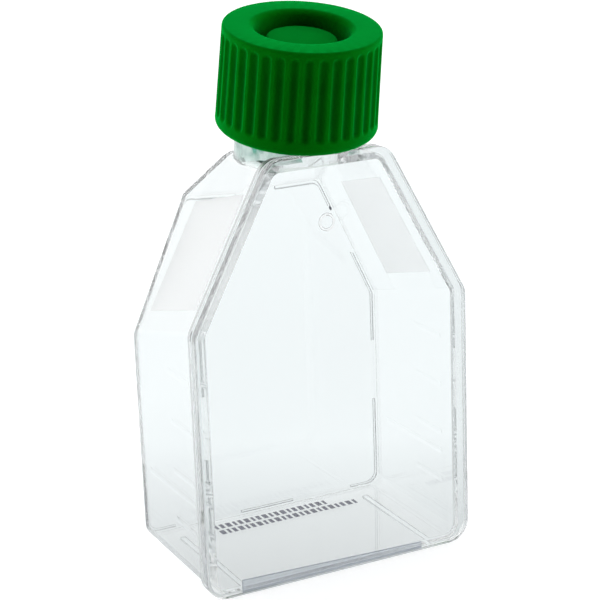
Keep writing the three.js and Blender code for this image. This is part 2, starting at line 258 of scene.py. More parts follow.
def inset(corners, distance):
    """The outline with every side moved in."""
    moved = []
    for i, corner in enumerate(corners):
        into = unit(corner - corners[i - 1])
        out = unit(corners[(i + 1) % len(corners)] - corner)
        inward = np.array((-into[1] - out[1], into[0] + out[0]))
        moved.append(corner + inward * distance / (1 + into @ out))
    return np.array(moved)


def rounded(corners, radius):
    """The outline with an arc at each corner."""
    points = []
    for i, corner in enumerate(corners):
        into = unit(corner - corners[i - 1])
        out = unit(corners[(i + 1) % len(corners)] - corner)
        turn = math.acos(into @ out)
        start = corner - into * radius * math.tan(turn / 2)
        centre = start + radius * np.array((-into[1], into[0]))
        for step in range(CORNER_STEPS + 1):
            angle = turn * step / CORNER_STEPS
            x, z = start - centre
            rotated = (x * math.cos(angle) - z * math.sin(angle), x * math.sin(angle) + z * math.cos(angle))
            points.append(centre + rotated)
    return np.array(points)


def loft(name, sections):
    """A closed solid through [y, outline] sections, front to back."""
    points = [(x, y, z) for y, outline in sections for x, z in outline]
    return mesh_object(name, points, tube_faces(len(sections), len(sections[0][1])))


def soft_plate(name, corners, corner_radius, from_y, to_y, edge):
    """A flat plate with rounded corners and softened front and back edges."""
    quarter = [math.pi / 2 * step / EDGE_STEPS for step in range(EDGE_STEPS + 1)]
    draws = [(edge * (1 - math.cos(angle)), edge * (1 - math.sin(angle))) for angle in quarter]
    levels = [(from_y + depth, draw) for depth, draw in draws]
    levels += [(to_y - depth, draw) for depth, draw in reversed(draws)]
    return loft(name, [(y, rounded(inset(corners, draw), corner_radius - draw)) for y, draw in levels])


flange_corners = house(**FLANGE)
front_corners = inset(flange_corners, FLANGE_LIP)
front_corners[[0, 1], 1] = BOTTOM_LIP
BACK = {
    "half": front_corners[1][0] - SIDE_DRAFT,
    "top_half": BACK_TOP_HALF,
    "bottom": front_corners[1][1] + BOTTOM_DRAFT,
    "shoulder": front_corners[2][1] - SHOULDER_DROP,
    "top": deck_height,
}
back_corners = house(**BACK)
fold_share = (fold_height - BACK["shoulder"]) / (deck_height - BACK["shoulder"])
fold_half = BACK["half"] + (BACK["top_half"] - BACK["half"]) * fold_share
back_wall_corners = house(**{**BACK, "top_half": fold_half, "top": fold_height})


def tub_corners(y):
    share = (y - flange_back) / TUB_DEPTH
    return front_corners + (back_corners - front_corners) * share


def across(name, profile, half_span):
    """A solid of constant section across X from [y, z] points, counter-clockwise seen from +X."""
    points = [(side * half_span, y, z) for side in (-1, 1) for y, z in profile]
    return mesh_object(name, points, prism_faces(len(profile)))


def below_ramp(depth):
    lowered = depth * math.hypot(1, ramp_slope)
    near, far = -2.0, back_face + 2
    ramp = [fold_height - lowered + ramp_slope * (back_face - y) for y in (near, far)]
    return across("ramp", [(near, -2), (far, -2), (far, ramp[1]), (near, ramp[0])], 2 * FLANGE["half"])


def tub_shape(name, depth, front_y):
    """Everything inside the tub's walls, moved in by depth, with its back edge rounded."""
    back_y = back_face - depth
    radius = TUB_CORNER - depth
    depths = np.linspace(front_y, back_y - BACK_RADIUS, 31)
    sections = [(y, rounded(inset(tub_corners(y), depth), radius)) for y in depths[:-1]]
    for step in range(FILLET_STEPS + 1):
        angle = math.pi / 2 * step / FILLET_STEPS
        y = back_y - BACK_RADIUS * (1 - math.sin(angle))
        draw = BACK_RADIUS * (1 - math.cos(angle))
        sections.append((y, rounded(inset(tub_corners(y), depth + draw), radius)))
    shape = loft(name, sections)
    combine(shape, below_ramp(depth), "INTERSECT")
    return shape


# ---- Turned shapes ----

def turned(name, profile, steps=TURN_STEPS):
    """A closed solid of revolution about Z from [radius, height] points that start and end on the axis."""
    inner = profile[1:-1]
    points = [(0, 0, profile[0][1]), (0, 0, profile[-1][1])]
    for step in range(steps):
        angle = 2 * math.pi * step / steps
        points += [(radius * math.cos(angle), radius * math.sin(angle), z) for radius, z in inner]
    return mesh_object(name, points, turned_faces(steps, len(inner)))


def arc(centre_r, centre_z, radius, start, end, steps=6):
    angles = [math.radians(start + (end - start) * i / steps) for i in range(steps + 1)]
    return [(centre_r + radius * math.cos(a), centre_z + radius * math.sin(a)) for a in angles]


def thread_ridge(name, wall_radius, crest_radius, start):
    """A helical ridge on a round wall, tapered to nothing at both ends."""
    steps = round(TURN_STEPS * THREAD["turns"])
    sign = 1 if crest_radius > wall_radius else -1
    root = wall_radius - sign * THREAD["sink"]
    points = []
    for step in range(steps + 1):
        angle = 2 * math.pi * step / TURN_STEPS
        rise = start + THREAD["pitch"] * step / TURN_STEPS
        fade = min(1.0, 8.0 * min(step, steps - step) / steps + 0.02)
        crest = wall_radius + (crest_radius - wall_radius) * fade - sign * THREAD["sink"] * (1 - fade) / 2
        section = [(root, -THREAD["root"] / 2), (crest, -THREAD["crest"] / 2),
                   (crest, THREAD["crest"] / 2), (root, THREAD["root"] / 2)]
        for radius, offset in section[::sign]:
            points.append((radius * math.cos(angle), radius * math.sin(angle), rise + offset))
    return mesh_object(name, points, tube_faces(steps + 1, 4))


neck_place = Matrix.Translation(NECK_BASE - Vector((0, FRONT_Y, 0))) @ Matrix.Rotation(NECK_TILT, 4, "X")
neck_thread_start = NECK["height"] - THREAD["margin"] - THREAD["pitch"] * THREAD["turns"]


def neck_root():
    rear_y = neck_place.translation.y + NECK["radius"] * math.cos(NECK_TILT)
    rear_z = neck_place.translation.z + NECK["radius"] * math.sin(NECK_TILT)
    ramp_at_rear = fold_height + ramp_slope * (back_face - rear_y) - WALL * math.hypot(1, ramp_slope)
    return (ramp_at_rear - rear_z) / (math.cos(NECK_TILT) - ramp_slope * math.sin(NECK_TILT))


def neck_tube(clear, shade):
    """The threaded neck, with a painted reflection of the green cap on its side where it shows under the cap.
    """
    radius, height, lip = NECK["radius"], NECK["height"], NECK["lip"]
    root = neck_root()
    shown = [(radius, root), (radius, NECK["shown"])]
    tube = turned("neck", [(0, root), *shown, *arc(radius - lip, height - lip, lip, 0, 90), (0, height)])
    for finish in (clear, shade):
        tube.data.materials.append(finish)
    # Side faces low on the neck get the painted reflection of the green cap.
    for face in tube.data.polygons:
        on_side = abs(face.normal.z) < 0.5
        face.material_index = 1 if on_side and face.center.z < NECK["shown"] else 0
    join_on(tube, thread_ridge("thread", radius, radius + THREAD["height"], neck_thread_start), clear)
    return place(tube, neck_place)


def neck_bore():
    bore, height, chamfer = NECK["radius"] - NECK["wall"], NECK["height"], NECK["chamfer"]
    end = neck_root() - WALL
    rim = [(bore, height - chamfer), (bore + chamfer, height), (bore + chamfer, height + 1)]
    return place(turned("bore", [(0, end), (bore, end), *rim, (0, height + 1)]), neck_place)


# ---- Flask body ----

def soft_box(name, low, high, edge):
    """A box with all its edges softened."""
    low, high = Vector(low), Vector(high)
    piece = mesh_object(name, [], [])
    shape = bmesh.new()
    bmesh.ops.create_cube(shape, size=1.0)
    size = high - low
    bmesh.ops.scale(shape, vec=size, verts=shape.verts)
    bmesh.ops.translate(shape, vec=(low + high) / 2, verts=shape.verts)
    bmesh.ops.bevel(shape, geom=shape.edges[:], offset=edge, segments=3, affect="EDGES", profile=0.5)
    shape.to_mesh(piece.data)
    shape.free()
    return piece


def edge_the_sides(ridge, outward_axis, clear, edge):
    """A ridge's side walls get the edge finish, a grey painted shade, and its crest stays clear."""
    ridge.data.materials.clear()
    for finish in (clear, edge):
        ridge.data.materials.append(finish)
    for face in ridge.data.polygons:
        face.material_index = 1 if abs(face.normal.dot(outward_axis)) < 0.95 else 0
    return ridge


def foot_rib(side, clear, edge):
    centre = side * RIB["spacing"] / 2
    low = (centre - RIB["width"] / 2, COVER_THICKNESS + WELD_GAP + RIB["behind_flange_front"], 0)
    high = (centre + RIB["width"] / 2, COVER_THICKNESS + RIB["length"], BACK["bottom"] + RIB["sink"])
    return edge_the_sides(soft_box("rib", low, high, RIDGE_EDGE), Vector((0, 0, 1)), clear, edge)


def rail_ring():
    """The whole rail round the back wall's edge, its crest softened."""
    edge = RIDGE_EDGE
    low, high = back_face - BACK_RADIUS, back_face + RAIL["height"]
    outer, inner = [], []
    for y, draw in [(low, 0.0), (high - edge, 0.0), (high - edge * 0.3, edge * 0.3), (high, edge)]:
        outer.append((y, rounded(inset(back_wall_corners, RAIL["inset"] + draw), TUB_CORNER - draw)))
        hole = inset(back_wall_corners, RAIL["inset"] + RAIL["width"] - draw)
        inner.append((y, rounded(hole, TUB_CORNER - RAIL["width"] + draw)))
    inner[0] = (low - 1, inner[0][1])
    inner.append((high + 1, inner[-1][1]))
    ring = loft("rails", outer)
    combine(ring, loft("hole", inner), "DIFFERENCE")
    return ring


def stacking_rails(clear, edge):
    rails = edge_the_sides(rail_ring(), Vector((0, 1, 0)), clear, edge)
    low, high = back_face - BACK_RADIUS - 1, back_face + RAIL["height"] + 1
    reach = BACK["half"] + 1
    corner_end = BACK["half"] - RAIL_GAPS["corner"]
    bar_end = RAIL_GAPS["bar"] / 2
    below_sides = BACK["bottom"] + TUB_CORNER
    side_middle, side_length = RAIL_GAPS["side"]
    above, shoulder_length = RAIL_GAPS["shoulder"]
    shoulder_middle = (BACK["shoulder"] + fold_height) / 2 + above
    gaps = [
        (bar_end, corner_end, 0, below_sides),
        (-corner_end, -bar_end, 0, below_sides),
        (-reach, reach, side_middle - side_length / 2, side_middle + side_length / 2),
        (-reach, reach, shoulder_middle - shoulder_length / 2, shoulder_middle + shoulder_length / 2),
        (-RAIL_GAPS["top"] / 2, RAIL_GAPS["top"] / 2, fold_height - TUB_CORNER, deck_height),
    ]
    for x0, x1, z0, z1 in gaps:
        gap = soft_box("gap", (x0, low, z0), (x1, high, z1), RIDGE_EDGE)
        # The rails' cut ends get the grey painted shade as well.
        finish_with(gap, [edge])
        combine(rails, gap, "DIFFERENCE")
    return rails


def wall_point(front, back, y):
    """A point of the tub's outside, in X and Z, at a depth between two matching corners."""
    share = (y - flange_back) / TUB_DEPTH
    return np.array(front) + (np.array(back) - np.array(front)) * share


def ribbon(name, sections):
    """A closed solid through equal sections of 3-D points, facing outward whichever way they turn."""
    points = [point for section in sections for point in section]
    return outward(mesh_object(name, points, tube_faces(len(sections), len(sections[0]))))


def outward(piece):
    """Turn every face of a closed solid outward."""
    shape = bmesh.new()
    shape.from_mesh(piece.data)
    bmesh.ops.recalc_face_normals(shape, faces=shape.faces)
    shape.to_mesh(piece.data)
    shape.free()
    return piece


def tick(side, height, back):
    """A low ridge along a side wall, thinning out at both ends."""
    sections = []
    half, rise, foot, sink = TICK["width"] / 2, TICK["rise"], TICK["foot"], TICK["sink"]
    front, taper, thin = TICK["front"], TICK["taper"], TICK["thin"]
    for y, full in [(front, thin), (front + taper, 1), (back - taper, 1), (back, thin)]:
        wall = wall_point((front_corners[1][0], 0), (BACK["half"], 0), y)[0]
        crest = rise * full
        profile = [(-sink, -half), (foot, -half), (crest * TICK_ROUND, -half / 2), (crest, 0),
                   (crest * TICK_ROUND, half / 2), (foot, half), (-sink, half)]
        sections.append([(side * (wall + out), y, height + z) for out, z in profile])
    return ribbon("tick", sections)


def panel(side, backs):
    """A patch a hair proud of the shoulder wall, for the frosted writing field."""
    fold = (front_corners[2], (BACK["half"], BACK["shoulder"]))
    top = (front_corners[3], (BACK_TOP_HALF, deck_height))
    (low_back, high_back), (low_rise, high_rise) = backs, PANEL["above_fold"]
    full = [(y, high_rise) for y in np.linspace(PANEL["front"], high_back, 25)]
    tapering = [(high_back + (low_back - high_back) * share, high_rise + (low_rise - high_rise) * share)
                for share in (0.33, 0.66, 0.99)]
    sections = []
    for y, reach in full + tapering:
        low, high = wall_point(*fold, y), wall_point(*top, y)
        along = unit(high - low)
        out = np.array((along[1], -along[0]))
        start, end = (low + along * rise / along[1] for rise in (low_rise, reach))
        corners = [start - out * PANEL["sink"], start + out * PANEL["rise"],
                   end + out * PANEL["rise"], end - out * PANEL["sink"]]
        sections.append([(side * x, y, z) for x, z in corners])
    return ribbon("panel", sections)


def mould_mark(start):
    """A little over half of a low ring on the back wall, from an angle on: two of them close the ring."""
    sections = []
    x0, z0 = MOULD_MARK["place"]
    half, steps = MOULD_MARK["width"] / 2, MOULD_MARK["steps"]
    root, crest = back_face - MOULD_MARK["sink"], back_face + MOULD_MARK["rise"]
    profile = [(-half, root), (-half, back_face), (-half / 2, crest),
               (half / 2, crest), (half, back_face), (half, root)]
    ring = [(MOULD_MARK["radius"] + out, y) for out, y in profile]
    for step in range(steps + 1):
        angle = math.radians(MOULD_MARK["sweep"] * step / steps + start)
        sections.append([(x0 + r * math.cos(angle), y, z0 + r * math.sin(angle)) for r, y in ring])
    return ribbon("mark", sections)


def gate_pip():
    x0, z0 = GATE_PIP["place"]
    radius, rise, sink, edge = (GATE_PIP[key] for key in ("radius", "rise", "sink", "edge"))
    crest = arc(radius - edge, rise - edge, edge, 0, 90, 3)
    pip = turned("pip", [(0, -sink), (radius, -sink), *crest, (0, rise)], GATE_PIP["steps"])
    return place(pip, Matrix.Translation((x0, back_face, z0)) @ Matrix.Rotation(-math.pi / 2, 4, "X"))


def shadow_strip(name, corners, thickness):
    """A thin strip on the cover plate's back, from its corners in X and Z."""
    depths = (COVER_THICKNESS - SHADOW_STRIP_SINK, COVER_THICKNESS + thickness)
    return ribbon(name, [[(x, y, z) for x, z in corners] for y in depths])


def painted_shadow_strips(film, rim_shadow):
    """Painted shadow between the foot ribs: a thin dark film with a darker rim, for the shaded gap under the
    flask seen through the clear lip.
    """
    x0, x1, low, (left, right) = (SHADOW_FILM[key] for key in ("from", "to", "low", "high"))
    width, foot = SHADOW_RIM["width"], SHADOW_RIM["foot"]
    strips = [shadow_strip("film", [(x0, low), (x1, low), (x1, right), (x0, left)], SHADOW_FILM["thickness"])]
    finish_with(strips[0], [film])
    for corners in (
        [(x0, low), (x1, low), (x1, low + foot), (x0, low + foot)],
        [(x0, left - width), (x1, right - width), (x1, right), (x0, left)],
        [(x0, low), (x0 + width, low), (x0 + width, left), (x0, left)],
    ):
        strips.append(shadow_strip("rim", corners, SHADOW_RIM["thickness"]))
        finish_with(strips[-1], [rim_shadow])
    return strips


def print_dashes():
    """Two rows of plain dashes under the bottom wall, in place of a printed line."""
    dashes = []
    for row, (y, end) in enumerate(zip(DASHES["rows"], DASHES["to"])):
        x, turn = DASHES["from"], row
        while x < end:
            length = DASHES["lengths"][turn % len(DASHES["lengths"])]
            under = wall_point((0, front_corners[1][1]), (0, BACK["bottom"]), y)[1]
            low = (x, y - DASHES["depth"] / 2, under - DASHES["rise"])
            high = (x + length, y + DASHES["depth"] / 2, under + DASHES["sink"])
            dashes.append(soft_box("dash", low, high, DASHES["edge"]))
            x += length + DASHES["gap"]
            turn += 1
    return dashes


def flask_body(clear, rough, edge, ink, shade, welded):
    # edge is the grey painted shade on the sides of ribs and rails.
    # shade is the neck root's painted reflection of the green cap.
    body = tub_shape("clear_flask", 0, COVER_THICKNESS + FLANGE_THICKNESS / 2)
    finish_with(body, [clear])
    front = COVER_THICKNESS + WELD_GAP
    flange = soft_plate("flange", flange_corners, FLANGE_CORNER, front, flange_back, EDGE_RADIUS / 2)
    join_on(body, flange, welded)
    combine(body, neck_tube(clear, shade), "UNION")
    for side in (-1, 1):
        combine(body, foot_rib(side, clear, edge), "UNION")
    combine(body, stacking_rails(clear, edge), "UNION")
    ring = [mould_mark(start) for start in MOULD_MARK["starts"]]
    for finish, details in ((rough, ring), (ink, [gate_pip(), *print_dashes()])):
        for detail in details:
            join_on(body, detail, finish)
    for side, backs in zip((-1, 1), PANEL["backs"]):
        for ticks in (SHORT_TICKS, LONG_TICKS):
            for height in ticks["heights"]:
                join_on(body, tick(side, height, ticks["back"]), clear)
        join_on(body, panel(side, backs), rough)
    cut_out(body, tub_shape("inside", WALL, COVER_THICKNESS - 1), clear)
    cut_out(body, neck_bore(), clear)
    finish_with(body, [clear, rough, edge, ink, shade, welded])
    smooth(body, CLEAR_SHARP)
    return into_frame(body)


def cover_plate(clear, film, rim_shadow):
    plate = soft_plate("clear_cover", flange_corners, FLANGE_CORNER, 0, COVER_THICKNESS, EDGE_RADIUS)
    finish_with(plate, [clear])
    # The dark film and rim on the plate's back are painted shadow of the shaded gap under the flask.
    for strip in painted_shadow_strips(film, rim_shadow):
        combine(plate, strip, "UNION")
    finish_with(plate, [clear, film, rim_shadow])
    smooth(plate, CLEAR_SHARP)
    return into_frame(plate)


# ---- Screw cap ----

def wall_radius(height):
    return CAP_RADIUS - CAP_DRAFT * height / CAP_TOP


def fluted_radius(angle, height):
    """The cap's outer radius at an angle and a height: a groove with round ends in each flute's place."""
    wall = wall_radius(height)
    pitch = 2 * math.pi / FLUTE["count"]
    phase = math.radians(FLUTE["phase"])
    offset = (angle - phase + pitch / 2) % pitch - pitch / 2
    groove, depth = FLUTE["radius"], FLUTE["depth"]
    centre = wall + groove - depth
    middle = (FLUTE["low"] + FLUTE["high"]) / 2
    beyond = max(0.0, abs(height - middle) - (FLUTE["high"] - FLUTE["low"]) / 2 + groove)
    left = groove ** 2 - beyond ** 2 - (centre * math.sin(offset)) ** 2
    hollow = centre * math.cos(offset) - math.sqrt(left) if left > 0 else wall + FLUTE["blend"]
    blend = max(0.0, 1 - abs(wall - hollow) / FLUTE["blend"])
    return min(wall, hollow) - FLUTE["blend"] * blend ** 2 / 4


def flute_angles():
    """Angles about the axis, gathered at the edges of each groove."""
    pitch = 2 * math.pi / FLUTE["count"]
    shares = [0, 0.1, 0.19, 0.26, 0.31, 0.34, 0.36, 0.38, 0.4, 0.43, 0.465]
    steps = sorted({round(s, 4) for share in shares for s in (share, -share)} | {0.5})
    phase = math.radians(FLUTE["phase"])
    return [phase + pitch * (k + step) for k in range(FLUTE["count"]) for step in steps]


def side_heights():
    """Heights up the cap's side, gathered at the grooves' round ends."""
    groove = FLUTE["radius"]
    ends = [0.02, 0.06, 0.14, 0.25, 0.4, 0.6, 0.8, 1.0]
    low = [FLUTE["low"] - 0.02] + [FLUTE["low"] + groove * share for share in ends]
    high = [FLUTE["high"] - groove * share for share in reversed(ends)] + [FLUTE["high"] + 0.02]
    return low + high


def cap_profile():
    boss_top = CAP_TOP - BOSS["recess"]
    boss_inside = BOSS["radius"] - BOSS["wall"]
    inside_top = CAP_TOP - TOP_WALL
    skirt, top_radius = SKIRT_INSIDE, CAP_RADIUS - CAP_DRAFT
    well, lip = WELL["radius"], WELL["lip"]
    floor = CAP_TOP - WELL["depth"]
    underside = floor - WELL["floor"]
    plug, plug_end = PLUG["radius"], underside - PLUG["skirt"]
    return [
        (0, boss_top - BOSS["wall"]),
        (boss_inside, boss_top - BOSS["wall"]),
        (boss_inside, underside),
        (well, underside),
        (well, plug_end),
        (plug - PLUG["wall"] / 2, plug_end),
        (plug, plug_end + PLUG["wall"]),
        (plug, inside_top),
        (skirt, inside_top),
        (skirt, 0.3),
        (skirt + 0.3, 0),
        *arc(CAP_RADIUS - BOTTOM_EDGE, BOTTOM_EDGE, BOTTOM_EDGE, -90, 0, 8),
        *[(wall_radius(height), height) for height in side_heights()],
        *arc(top_radius - TOP_EDGE, CAP_TOP - TOP_EDGE, TOP_EDGE, 0, 90, 6),
        *arc(well + lip, CAP_TOP - lip, lip, 90, 180, 8),
        *arc(well - 0.3, floor + 0.3, 0.3, 0, -90, 3),
        *arc(BOSS["radius"] + 0.3, floor + 0.3, 0.3, 270, 180, 3),
        *arc(BOSS["radius"] - TOP_EDGE, boss_top - TOP_EDGE, TOP_EDGE, 0, 90, 5),
        (0, boss_top),
    ]


def cap_shell():
    profile = cap_profile()
    inner = profile[1:-1]
    angles = flute_angles()
    fluted = set(side_heights())
    points = [(0, 0, profile[0][1]), (0, 0, profile[-1][1])]
    for angle in angles:
        for radius, height in inner:
            out = fluted_radius(angle, height) if height in fluted and radius > SKIRT_INSIDE + 1 else radius
            points.append((out * math.cos(angle), out * math.sin(angle), height))
    return mesh_object("green_cap", points, turned_faces(len(angles), len(inner)))


def vent_slot(index):
    sweep = math.radians(VENT["sweep"])
    start = 2 * math.pi * index / VENT["count"]
    inner, outer = BOSS["radius"] + VENT["edge"], WELL["radius"] - VENT["edge"]
    angles = [start + sweep * i / 8 for i in range(9)]
    outline = [(outer * math.cos(a), outer * math.sin(a)) for a in angles]
    outline += [(inner * math.cos(a), inner * math.sin(a)) for a in reversed(angles)]
    floor = CAP_TOP - WELL["depth"]
    low, high = floor - WELL["floor"] - 0.5, floor + 0.5
    points = [(x, y, z) for z in (low, high) for x, y in outline]
    return mesh_object("vent", points, prism_faces(len(outline)))


def screw_cap():
    cap = cap_shell()
    crest = SKIRT_INSIDE - THREAD["height"]
    start = neck_thread_start - THREAD["pitch"] / 2
    combine(cap, thread_ridge("thread", SKIRT_INSIDE, crest, start), "UNION")
    combine(cap, join_meshes("vents", [vent_slot(i) for i in range(VENT["count"])]), "DIFFERENCE")
    smooth(cap, CAP_SHARP)
    return into_frame(place(cap, neck_place))


# ---- Materials ----

CLEAR_TINT = (0.988, 0.997, 0.997, 1)
FROSTED_TINT = (0.965, 0.948, 0.944, 1)
# Grey of the ridges' side walls: painted shade standing for their dark outlines
RIDGE_SIDE_SHADE_TINT = (0.55, 0.58, 0.59, 1)
FLANGE_TINT = (0.93, 0.945, 0.945, 1)
# Tints of the painted shadow on the cover plate's back: film and rim
SHADOW_FILM_TINT = (0.62, 0.66, 0.72, 1)
SHADOW_RIM_TINT = (0.3, 0.34, 0.4, 1)
# Each finish: tint, haze, roughness from and to, grain to the metre and its depth in metres.
FINISHES = {
    "clear polystyrene": (CLEAR_TINT, 0.005, (0.0, 0.012), 200.0, 0.00000015),
    "frosted polystyrene": (FROSTED_TINT, 0.03, (0.28, 0.35), 3000.0, 0.00001),
    # The ridge finish is grey painted shade.
    "polystyrene ridge painted shade": (RIDGE_SIDE_SHADE_TINT, 0.3, (0.1, 0.2), 2000.0, 0.000004),
    # The next two finishes are painted shadow on the cover plate's back.
    "painted shadow film": (SHADOW_FILM_TINT, 0.3, (0.15, 0.26), 1500.0, 0.00001),
    "painted shadow rim": (SHADOW_RIM_TINT, 0.4, (0.15, 0.26), 1500.0, 0.00001),
    "welded flange": (FLANGE_TINT, 0.04, (0.02, 0.1), 300.0, 0.0000005),
}
# Painted reflection of the green cap in the neck root: a light tint and a deep one
NECK_CAP_REFLECTION_TINTS = ((0.86, 0.95, 0.92, 1), (0.02, 0.2, 0.12, 1))
NECK_CAP_REFLECTION_FINISH = (NECK_CAP_REFLECTION_TINTS[0], 0.1, (0.02, 0.12), 400.0, 0.00001)
NECK_REFLECTION_FADE = (-0.0055, -0.0015)  # heights on the neck between which the painted reflection of the cap's green comes in
CLEAR_SHADOW = (0.978, 0.985, 0.985, 1)
GREEN = (0.001, 0.182, 0.0025, 1)
GREEN_DEEPER = (0.8, 0.88, 0.85, 1)  # shares of the green in its deeper patches
# Painted shade multiplied into the green in the cap's grooves
GROOVE_PAINTED_SHADE = (0.5, 0.5, 0.43, 1)
GROOVE_FROM = 0.08  # depth at which a groove's painted shade begins, in millimetres
GROOVE_FADE_FROM = 12.0  # height above which the painted shade weakens towards the grooves' upper ends
GREEN_SHEEN = {"Weight": 0.6, "Roughness": 0.45, "Tint": (0.003, 0.95, 0.17, 1)}
INK = (0.05, 0.055, 0.13, 1)


def new_material(name):
    made = bpy.data.materials.new(name)
    made.use_nodes = True
    tree = made.node_tree
    return made, tree, tree.nodes["Principled BSDF"]


def noise(tree, scale, detail=2.0):
    """Noise over the piece's own coordinates, with its scale counted per metre."""
    place_node = tree.nodes.new("ShaderNodeTexCoord")
    made = tree.nodes.new("ShaderNodeTexNoise")
    made.inputs["Scale"].default_value = scale
    made.inputs["Detail"].default_value = detail
    tree.links.new(place_node.outputs["Object"], made.inputs["Vector"])
    return made.outputs["Fac"]


def spread(tree, source, low, high, start=0.3, end=0.7):
    made = tree.nodes.new("ShaderNodeMapRange")
    for name, value in (("From Min", start), ("From Max", end), ("To Min", low), ("To Max", high)):
        made.inputs[name].default_value = value
    tree.links.new(source, made.inputs["Value"])
    return made.outputs["Result"]


def bump(tree, source, distance):
    made = tree.nodes.new("ShaderNodeBump")
    made.inputs["Strength"].default_value = 1.0
    made.inputs["Distance"].default_value = distance
    tree.links.new(source, made.inputs["Height"])
    return made.outputs["Normal"]


def math_node(tree, operation, first, second):
    made = tree.nodes.new("ShaderNodeMath")
    made.operation = operation
    for slot, value in enumerate((first, second)):
        if isinstance(value, (int, float)):
            made.inputs[slot].default_value = value
        else:
            tree.links.new(value, made.inputs[slot])
    return made.outputs[0]


def vector_node(tree, operation, first, second):
    made = tree.nodes.new("ShaderNodeVectorMath")
    made.operation = operation
    tree.links.new(first, made.inputs[0])
    made.inputs[1].default_value = second
    return made


def mix_shaders(tree, share, first, second):
    made = tree.nodes.new("ShaderNodeMixShader")
    for slot, source in enumerate((share, first.outputs[0], second.outputs[0])):
        tree.links.new(source, made.inputs[slot])
    return made


def mix_colours(tree, share, first, second, blend="MIX"):
    """A mix of two colours, each given as a value or as another node's output."""
    made = tree.nodes.new("ShaderNodeMix")
    made.data_type = "RGBA"
    made.blend_type = blend
    tree.links.new(share, made.inputs["Factor"])
    for name, colour in (("A", first), ("B", second)):
        if isinstance(colour, tuple):
            made.inputs[name].default_value = colour
        else:
            tree.links.new(colour, made.inputs[name])
    return made.outputs["Result"]


def join_paths(tree, names):
    """1 for rays of any of the named kinds, else 0."""
    path = tree.nodes.new("ShaderNodeLightPath")
    total = path.outputs[names[0]]
    for name in names[1:]:
        total = math_node(tree, "MAXIMUM", total, path.outputs[name])
    return total


def let_lamps_through(tree, shader):
    """Rays from lamps pass the clear plastic with a faint tint, so its shadow stays light."""
    open_way = tree.nodes.new("ShaderNodeBsdfTransparent")
    open_way.inputs["Color"].default_value = CLEAR_SHADOW
    mix = mix_shaders(tree, join_paths(tree, ["Is Shadow Ray"]), shader, open_way)
    tree.links.new(mix.outputs[0], tree.nodes["Material Output"].inputs["Surface"])


def clear_plastic(name, tint, haze, rough, grain, grain_depth):
    """Moulded polystyrene: clear with some duller patches, or hazier, duller and grained."""
    made, tree, shader = new_material(name)
    shader.inputs["Base Color"].default_value = tint
    shader.inputs["Transmission Weight"].default_value = 1 - haze
    shader.inputs["IOR"].default_value = PLASTIC_IOR
    tree.links.new(spread(tree, noise(tree, 140.0), *rough), shader.inputs["Roughness"])
    tree.links.new(bump(tree, noise(tree, grain), grain_depth), shader.inputs["Normal"])
    let_lamps_through(tree, shader)
    return made


def painted_cap_reflection():
    """The clear plastic at the neck's root, with a painted reflection of the cap's green in patches, fading
    away from the cap.
    """
    made = clear_plastic("neck root painted reflection", *NECK_CAP_REFLECTION_FINISH)
    tree = made.node_tree
    from_cap = spread(tree, height_on_neck(tree), 0, 1, *NECK_REFLECTION_FADE)
    uneven = spread(tree, noise(tree, 420.0, 1.0), -0.5, 0.5)
    strength = math_node(tree, "ADD", from_cap, math_node(tree, "MULTIPLY", from_cap, uneven))
    patches = mix_colours(tree, strength, *NECK_CAP_REFLECTION_TINTS)
    tree.links.new(patches, tree.nodes["Principled BSDF"].inputs["Base Color"])
    return made


def from_neck_base(tree):
    """A place on the piece, counted from the neck's base."""
    place_node = tree.nodes.new("ShaderNodeTexCoord")
    return vector_node(tree, "SUBTRACT", place_node.outputs["Object"], NECK_BASE * MM).outputs["Vector"]


def height_on_neck(tree):
    return vector_node(tree, "DOT_PRODUCT", from_neck_base(tree), NECK_AXIS).outputs["Value"]


def in_groove(tree):
    """How far into the cap's grooves a place is, 0 to 1, from its distance to the cap's axis: where shade is
    painted.
    """
    from_base, height = from_neck_base(tree), height_on_neck(tree)
    off_axis = vector_node(tree, "CROSS_PRODUCT", from_base, NECK_AXIS).outputs["Vector"]
    radius = vector_node(tree, "LENGTH", off_axis, (0, 0, 0)).outputs["Value"]
    wall = math_node(tree, "MULTIPLY_ADD", height, -CAP_DRAFT / CAP_TOP)
    wall.node.inputs[2].default_value = CAP_RADIUS * MM
    depth = math_node(tree, "SUBTRACT", wall, radius)
    share = spread(tree, depth, 0, 1, GROOVE_FROM * MM, FLUTE["depth"] * MM)
    fade = spread(tree, height, 1, 0.5, GROOVE_FADE_FROM * MM, FLUTE["high"] * MM)
    outside = math_node(tree, "GREATER_THAN", radius, (CAP_RADIUS - CAP_DRAFT - 2 * FLUTE["depth"]) * MM)
    below_top = math_node(tree, "LESS_THAN", height, (CAP_TOP - 2 * TOP_EDGE) * MM)
    above_band = math_node(tree, "GREATER_THAN", height, BOTTOM_EDGE * MM)
    on_side = math_node(tree, "MULTIPLY", outside, math_node(tree, "MULTIPLY", below_top, above_band))
    return math_node(tree, "MULTIPLY", math_node(tree, "MULTIPLY", share, fade), on_side)


